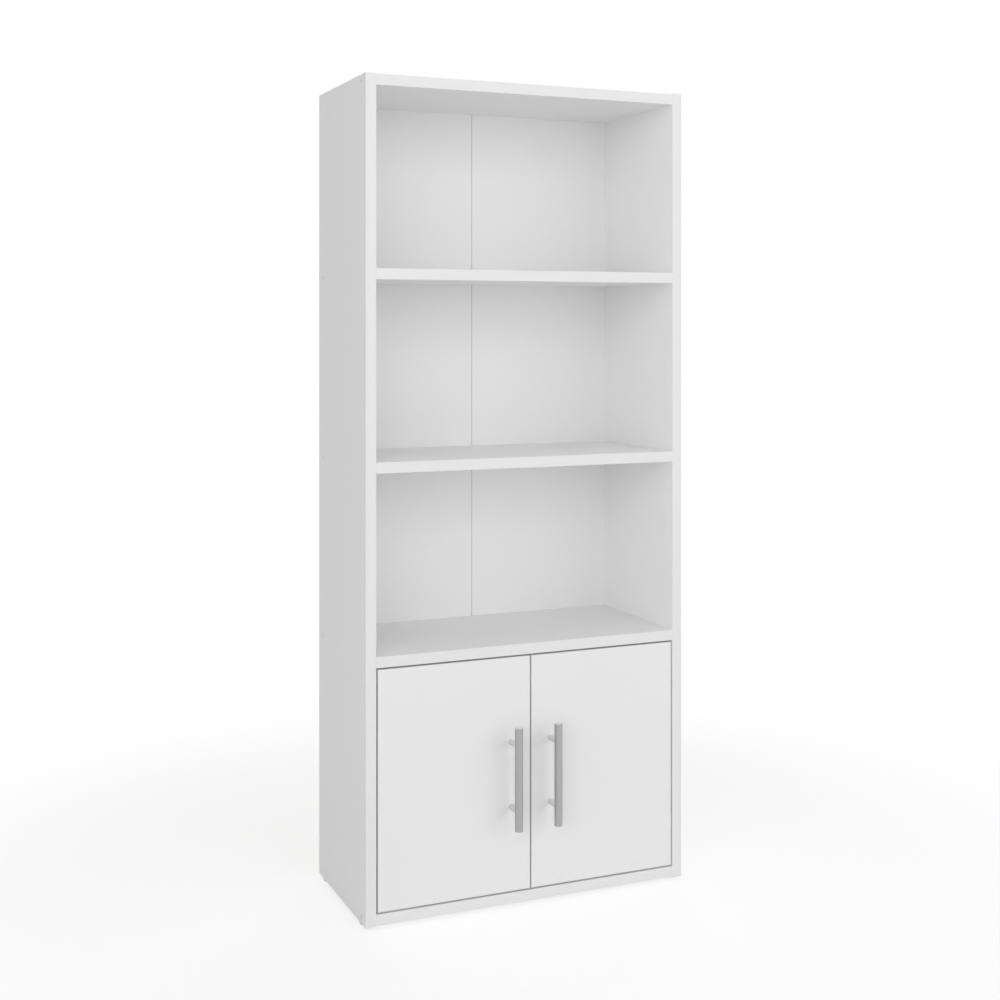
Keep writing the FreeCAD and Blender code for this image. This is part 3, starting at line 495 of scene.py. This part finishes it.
board_screws = of_each("carcass_screws", screw, outward=out_of_side, head_height=0.003, shank=0.0025,
                       plain=0.012, pitch=0.003, crown=0.0004, outline=hexagon(SOCKET_ACROSS), depth=0.0022)
lacquer_finish = smooth_skin("white_lacquer", dark=0.80, pale=0.84, roughness=0.35, rougher=0.1,
                             grain=0.0008)
show("board_screws", board_screws, lacquer_finish, "white_screw", "carcass_screws")


# Dowels: fluted beech, glued into the boards at the row that has no screw. The flutes let the air and the
# spare glue out.

FLUTES = 16
FLUTE_DEPTH = 0.0003
DOWEL_CHAMFER = 0.001
GRAIN_PER_METRE = (60, 900, 900)
BEECH_DARK = (0.50, 0.31, 0.16, 1)
BEECH_PALE = (0.68, 0.48, 0.29, 1)
BEECH_RELIEF = 0.00004


def beech():
    finish, start = new_finish("beech")
    grain = start.node("TexCoord", output="Object").stretched(GRAIN_PER_METRE).noise(1.0, detail=4)
    start.surface(Base_Color=grain.between(BEECH_DARK, BEECH_PALE), Roughness=0.7,
                  Normal=start.relief(grain, BEECH_RELIEF))
    return finish


def dowel(shape, box):
    low, high = box
    radius = (high.y - low.y) / 2
    length = high.x - low.x
    first = len(shape.verts)
    profile = [(0, -length), (radius - DOWEL_CHAMFER, -length), (radius, DOWEL_CHAMFER - length),
               (radius, -DOWEL_CHAMFER), (radius - DOWEL_CHAMFER, 0), (0, 0)]
    turned(shape, profile, 4 * FLUTES, seat(low, high, (1, 0, 0)))
    middle = (low + high) / 2
    shape.verts.ensure_lookup_table()
    for vert in shape.verts[first:]:
        spoke = Vector((0, vert.co.y - middle.y, vert.co.z - middle.z))
        if spoke.length > radius - DOWEL_CHAMFER / 2:
            turn = math.atan2(spoke.z, spoke.y) * FLUTES
            vert.co -= spoke.normalized() * FLUTE_DEPTH * (1 - math.cos(turn)) / 2


show("dowels", of_each("carcass_dowels", dowel), beech(), "beech", "carcass_dowels")


# Glides: four feet of moulded white plastic with a rounded rim. Each is nailed up into the bottom edge of a
# side, and the nail's head lies sunk in the middle.

GLIDE_RIM = 0.0015
GLIDE_CHAMFER = 0.0003
GLIDE_RECESS = 0.0018
GLIDE_RECESS_DEPTH = 0.0015
GLIDE_RECESS_LIP = 0.0004
GLIDE_STEPS = 48
MOULD_GRAIN = 0.0006


def plastic(name, level, roughness):
    return smooth_skin(name, level * DULLER, level, roughness, rougher=0.1, grain=MOULD_GRAIN)


def glide(node):
    low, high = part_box(node)
    radius = (high.x - low.x) / 2
    height = high.z - low.z
    profile = [(0, -height), (radius - GLIDE_CHAMFER, -height), (radius, GLIDE_CHAMFER - height)]
    profile += arc((radius - GLIDE_RIM, -GLIDE_RIM), GLIDE_RIM, 0, 90, steps=6)
    profile += [(GLIDE_RECESS + GLIDE_RECESS_LIP, 0), (GLIDE_RECESS, -GLIDE_CHAMFER),
                (GLIDE_RECESS, -GLIDE_RECESS_DEPTH), (0, -GLIDE_RECESS_DEPTH)]
    shape = bmesh.new()
    turned(shape, profile, GLIDE_STEPS, seat(low, high, (0, 0, -1)))
    return shape


def downwards(box):
    return (0, 0, -1)


glide_finish = plastic("glide_plastic", level=0.78, roughness=0.4)
for corner in ("front_left", "front_right", "rear_left", "rear_right"):
    show("foot_" + corner, glide(corner + "_glide"), glide_finish, "glide_plastic", corner + "_glide")
nails = of_each("glide_nails", nail, outward=downwards, wire=0.0008, thick=0.0008,
                dome=((1, 1), (1, 0.3), (0.8, 0), (0, 0)))
show("foot_nails", nails, wire_finish, "bright_wire", "glide_nails")


# Doors: two of the same faced boards, banded on all four edges, inset between the sides and flush with their
# front edges.

paint(faced_board("Y"), "left_door", "right_door")
paint(band_finish, "left_door_edge_bands", "right_door_edge_bands")


# Handles: an upright round bar on two round posts, all brushed steel. The posts are coped to the bar, and a
# screw with a cross recess holds each from inside the door.

# Painted reflection: the bar's round is painted darker, and its turned ends and the posts lighter, though
# all are one steel.
PAINTED_DIM_REFLECTION_TONE = 0.455
PAINTED_BRIGHT_REFLECTION_TONE = 0.76
PAINTED_END_SHARE = 0.0035
RINGS_PER_METRE = 5200
RING_SHARE = 0.6
ROUND_RING_PER_METRE = 60
BRUSH_CLOUDS = 0.006
BRUSH_UNEVEN = 0.05
BRUSH_ROUGHNESS = 0.32
RING_ROUGHNESS = 0.12
BRUSH_RELIEF = 0.000004


def brushed(name, axis, round_tone, painted_end_tone):
    """Steel brushed in fine rings round one axis. Its turned ends may be painted brighter than its round, a
    painted reflection.
    """
    finish, start = new_finish(name)
    place = start.node("TexCoord", output="Object")
    share = start.node("TexCoord", output="Generated").along(axis)
    # The turned ends take the end tone: a painted reflection where it is lighter than the round.
    end = abs(share - 0.5) > 0.5 - PAINTED_END_SHARE
    per_metre = [RINGS_PER_METRE if letter == axis else ROUND_RING_PER_METRE for letter in "XYZ"]
    rings = place.stretched(per_metre).noise(1.0, detail=3)
    uneven = RING_SHARE * rings + (1 - RING_SHARE) * place.noise(BRUSH_CLOUDS)
    tone = shades(uneven, round_tone, BRUSH_UNEVEN)
    start.surface(Base_Color=end.between(tone, grey(painted_end_tone)), Metallic=1.0,
                  Roughness=BRUSH_ROUGHNESS + RING_ROUGHNESS * rings,
                  Normal=start.relief(rings, BRUSH_RELIEF))
    return finish


BAR_EDGE = 0.0008
BAR_STEPS = 96
POST_STEPS = 56
POST_CHAMFER = 0.0003


def handle_bar(node):
    low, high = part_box(node)
    radius = (high.x - low.x) / 2
    length = high.z - low.z
    profile = [(0, -length)] + arc((radius - BAR_EDGE, BAR_EDGE - length), BAR_EDGE, -90, 0)
    profile += arc((radius - BAR_EDGE, -BAR_EDGE), BAR_EDGE, 0, 90) + [(0, 0)]
    shape = bmesh.new()
    turned(shape, profile, BAR_STEPS, seat(low, high, (0, 0, 1)))
    return shape


def handle_post(shape, box, bar, door):
    """Add a post from the door's face to the bar, with its end hollowed to fit the bar's round."""
    low, high = box
    bar_low, bar_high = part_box(bar)
    axis = (bar_low + bar_high) / 2
    bar_radius = (bar_high.x - bar_low.x) / 2
    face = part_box(door)[0].y
    reach = face - axis.y
    radius = (high.x - low.x) / 2
    first = len(shape.verts)
    profile = [(0, -reach), (radius, -reach), (radius, -POST_CHAMFER), (radius - POST_CHAMFER, 0), (0, 0)]
    turned(shape, profile, POST_STEPS, seat(low, Vector((high.x, face, high.z)), (0, 1, 0)))
    shape.verts.ensure_lookup_table()
    for vert in shape.verts[first:]:
        if vert.co.y < axis.y + bar_radius:
            vert.co.y = axis.y + math.sqrt(bar_radius ** 2 - (vert.co.x - axis.x) ** 2)


def cross(length, width):
    """Outline of a cross recess: three corners of one arm, turned by a quarter four times."""
    long, wide = length / 2, width / 2
    corners = [(long, -wide), (long, wide), (wide, wide)]
    return [(x * cos - y * sin, x * sin + y * cos)
            for cos, sin in ((1, 0), (0, 1), (-1, 0), (0, -1)) for x, y in corners]


CROSS_RECESS = {"outline": cross(0.0036, 0.0009), "depth": 0.001, "narrowing": 0.7}

# Painted reflections: the bar's round is painted dim, and its ends and the posts bright.
bar_finish = brushed("bar_steel", "Z", PAINTED_DIM_REFLECTION_TONE, PAINTED_BRIGHT_REFLECTION_TONE)
post_finish = brushed("post_steel", "Y", PAINTED_BRIGHT_REFLECTION_TONE, PAINTED_BRIGHT_REFLECTION_TONE)
zinc_finish = metal("zinc_screw", level=0.6, roughness=0.3)
for hand in ("left", "right"):
    bar = hand + "_handle_bar"
    show(hand + "_bar", handle_bar(bar), bar_finish, "handle_steel", bar)
    posts = of_each(hand + "_handle_posts", handle_post, bar=bar, door=hand + "_door")
    show(hand + "_posts", posts, post_finish, "handle_steel", hand + "_handle_posts")
    screws = of_each(hand + "_handle_screws", screw, outward=to_rear, head_height=0.002, shank=0.002,
                     plain=0.010, pitch=0.0007, crown=0.0012, **CROSS_RECESS)
    show(hand + "_bar_screws", screws, zinc_finish, "zinc_screw", hand + "_handle_screws")


# Hinges: concealed cup hinges of pressed and nickel-plated steel, two on each door. The cup is let into the
# door, the plate is screwed to the side, and the cranked arm joins them by a pin through the cup.

PRESSED_EDGE = 0.0002
SHARP_FROM = math.radians(40)
FLAT_TO = math.radians(1)
SLIVER = 2e-7


def eased(node, width):
    """A copy of a CAD piece with its sharp edges rounded, as pressing or moulding leaves them."""
    shape = bmesh.new()
    shape.from_mesh(frame["nodes"][node].data)
    bmesh.ops.remove_doubles(shape, verts=shape.verts, dist=WELD)
    bmesh.ops.dissolve_limit(shape, angle_limit=FLAT_TO, verts=shape.verts, edges=shape.edges)
    sharp = [edge for edge in shape.edges if edge.calc_face_angle(0) > SHARP_FROM]
    bmesh.ops.bevel(shape, geom=sharp, offset=width, offset_type="OFFSET", segments=2, profile=0.5,
                    affect="EDGES", clamp_overlap=True)
    bmesh.ops.dissolve_degenerate(shape, dist=SLIVER, edges=shape.edges)
    return shape


nickel_finish = metal("nickel", level=0.70, roughness=0.24, grain=0.0008)
for hinge in ("left_lower", "left_upper", "right_lower", "right_upper"):
    for part in ("cup", "arm", "plate"):
        node = hinge + "_hinge_" + part
        show(hinge + "_" + part, eased(node, PRESSED_EDGE), nickel_finish, "nickel_steel", node)
    paint(nickel_finish, hinge + "_hinge_pin")


# Small screws: zinc-plated wood screws with a low domed head and a cross recess hold the cups, the plates,
# the catch and the strikes. A wider machine screw clamps each hinge arm.

def into_room(box):
    return (-math.copysign(1, box[0].x), 0, 0)


for name, node, outward in (("left_cup_fixing", "left_cup_screws", to_rear),
                            ("right_cup_fixing", "right_cup_screws", to_rear),
                            ("plate_fixing", "hinge_plate_screws", into_room),
                            ("catch_fixing", "catch_screws", downwards),
                            ("left_strike_fixing", "left_strike_screw", to_rear),
                            ("right_strike_fixing", "right_strike_screw", to_rear)):
    screws = of_each(node, screw, outward=outward, head_height=0.0014, shank=0.00175, plain=0.001,
                     pitch=0.0014, crown=0.0009, **CROSS_RECESS)
    show(name, screws, zinc_finish, "zinc_screw", node)
clamps = of_each("hinge_arm_screws", screw, outward=into_room, head_height=0.002, shank=0.0025, plain=0.0018,
                 pitch=0.0008, crown=0.0006, **CROSS_RECESS)
show("arm_clamps", clamps, zinc_finish, "zinc_screw", "hinge_arm_screws")


# Catch: a moulded white block under the lower shelf with two magnets between steel pole plates. They hold a
# round steel strike on each door.

MOULDED_EDGE = 0.0004
SHEARED_EDGE = 0.00015

catch_finish = plastic("catch_plastic", level=0.78, roughness=0.42)
show("catch_block", eased("catch_housing", MOULDED_EDGE), catch_finish, "catch_plastic", "catch_housing")
paint(plastic("magnet", level=0.035, roughness=0.55), "catch_magnets")
plate_finish = metal("zinc_plate", level=0.55, roughness=0.3)
show("pole_plates", eased("catch_pole_plates", SHEARED_EDGE), plate_finish, "zinc_plate",
     "catch_pole_plates")
for hand in ("left", "right"):
    node = hand + "_strike_plate"
    show(hand + "_strike", eased(node, PRESSED_EDGE), plate_finish, "zinc_plate", node)


# Studio: a pale floor and backdrop in soft light from large lamps all round, seen from the front left and
# level with the middle bay.

AMBIENT = 0.17


def seen(start):
    """1 for what is seen straight, in metal or through glass, 0 for what only lights the object."""
    kinds = [start.node("LightPath", output=f"Is {kind} Ray")
             for kind in ("Camera", "Glossy", "Transmission")]
    return start.math("MAXIMUM", start.math("MAXIMUM", kinds[0], kinds[1]), kinds[2])


def backdrop():
    """White all round as it is seen, and a low even light on the object."""
    world = bpy.data.worlds.new("studio")
    world.use_nodes = True
    world.node_tree.nodes.clear()
    start = Socket(world.node_tree)
    strength = seen(start) * (1 - AMBIENT) + AMBIENT
    light = start.node("Background", {}, {"Color": grey(1), "Strength": strength})
    start.node("OutputWorld", {}, {"Surface": light})
    bpy.context.scene.world = world


FLOOR_REACH = 30
SHADOW_FROM = 0.6
SHADOW_TO = 1.2
PAPER = 0.9
LIT_PAPER = 0.3
GLOWING_PAPER = 0.76


def floor():
    """Pale paper that shows the object's shadow near it and runs out into the white of the backdrop."""
    finish, start = new_finish("floor")
    place = start.node("TexCoord", output="Object")
    away = start.node("VectorMath", {"operation": "LENGTH"}, {0: place}, "Value")
    far = start.node("MapRange", {"interpolation_type": "SMOOTHSTEP"},
                     {"Value": away, "From Min": SHADOW_FROM, "From Max": SHADOW_TO}, "Result")
    paper = start.node("BsdfDiffuse", {}, {"Color": grey(PAPER)})
    lit = start.node("BsdfDiffuse", {}, {"Color": grey(LIT_PAPER)})
    glow = start.node("Emission", {}, {"Color": grey(1), "Strength": GLOWING_PAPER})
    white = start.node("Emission", {}, {"Color": grey(1), "Strength": 1.0})
    near = start.node("AddShader", {}, {0: lit, 1: glow})
    shown = start.node("MixShader", {}, {0: far, 1: near, 2: white})
    mixed = start.node("MixShader", {}, {0: seen(start), 1: paper, 2: shown})
    start.node("OutputMaterial", {}, {"Surface": mixed})
    shape = bmesh.new()
    bmesh.ops.create_grid(shape, x_segments=1, y_segments=1, size=FLOOR_REACH)
    mesh = bpy.data.meshes.new("floor")
    shape.to_mesh(mesh)
    shape.free()
    mesh.materials.append(finish)
    ground = bpy.data.objects.new("floor", mesh)
    bpy.context.scene.collection.objects.link(ground)


AIM = Vector((0, 0, 0.6))


def softbox(name, power, place, wide, tall):
    """A large soft lamp, aimed at the middle of the object."""
    lamp = bpy.data.lights.new(name, "AREA")
    lamp.shape = "RECTANGLE"
    lamp.size = wide
    lamp.size_y = tall
    lamp.energy = power
    holder = bpy.data.objects.new(name, lamp)
    holder.location = place
    holder.visible_glossy = False
    holder.rotation_euler = (AIM - Vector(place)).to_track_quat("-Z", "Y").to_euler()
    bpy.context.scene.collection.objects.link(holder)


LENS = 53.25
RISE = -0.174
STAND = (-0.9122, -2.1111, 0.8622)
TURN = -0.40504


def camera():
    lens = bpy.data.cameras.new("camera")
    lens.sensor_width = 36
    lens.lens = LENS
    lens.shift_y = RISE
    holder = bpy.data.objects.new("camera", lens)
    holder.location = STAND
    holder.rotation_euler = (math.radians(90), 0, TURN)
    bpy.context.scene.collection.objects.link(holder)
    bpy.context.scene.camera = holder


backdrop()
floor()
for name, power, place, wide, tall in (("key", 33.5, (1.9, -3.9, 1.7), 2.8, 2.5),
                                       ("side_right", 28.0, (3.7, -2.8, 1.6), 2.4, 2.4),
                                       ("wide_left", 56.8, (-2.55, -3.75, 1.55), 3.4, 2.8),
                                       ("side_left", 25.5, (-4.2, -1.6, 1.3), 2.6, 2.6),
                                       ("high_left", 12.0, (-2.0, -2.8, 3.6), 2.0, 2.0),
                                       ("rear", 86.0, (2.4, 4.0, 1.6), 3.0, 3.0),
                                       ("overhead", 20.0, (0.0, -0.4, 3.6), 2.0, 2.0)):
    softbox(name, power, place, wide, tall)
camera()
bpy.context.scene.view_settings.view_transform = "Standard"
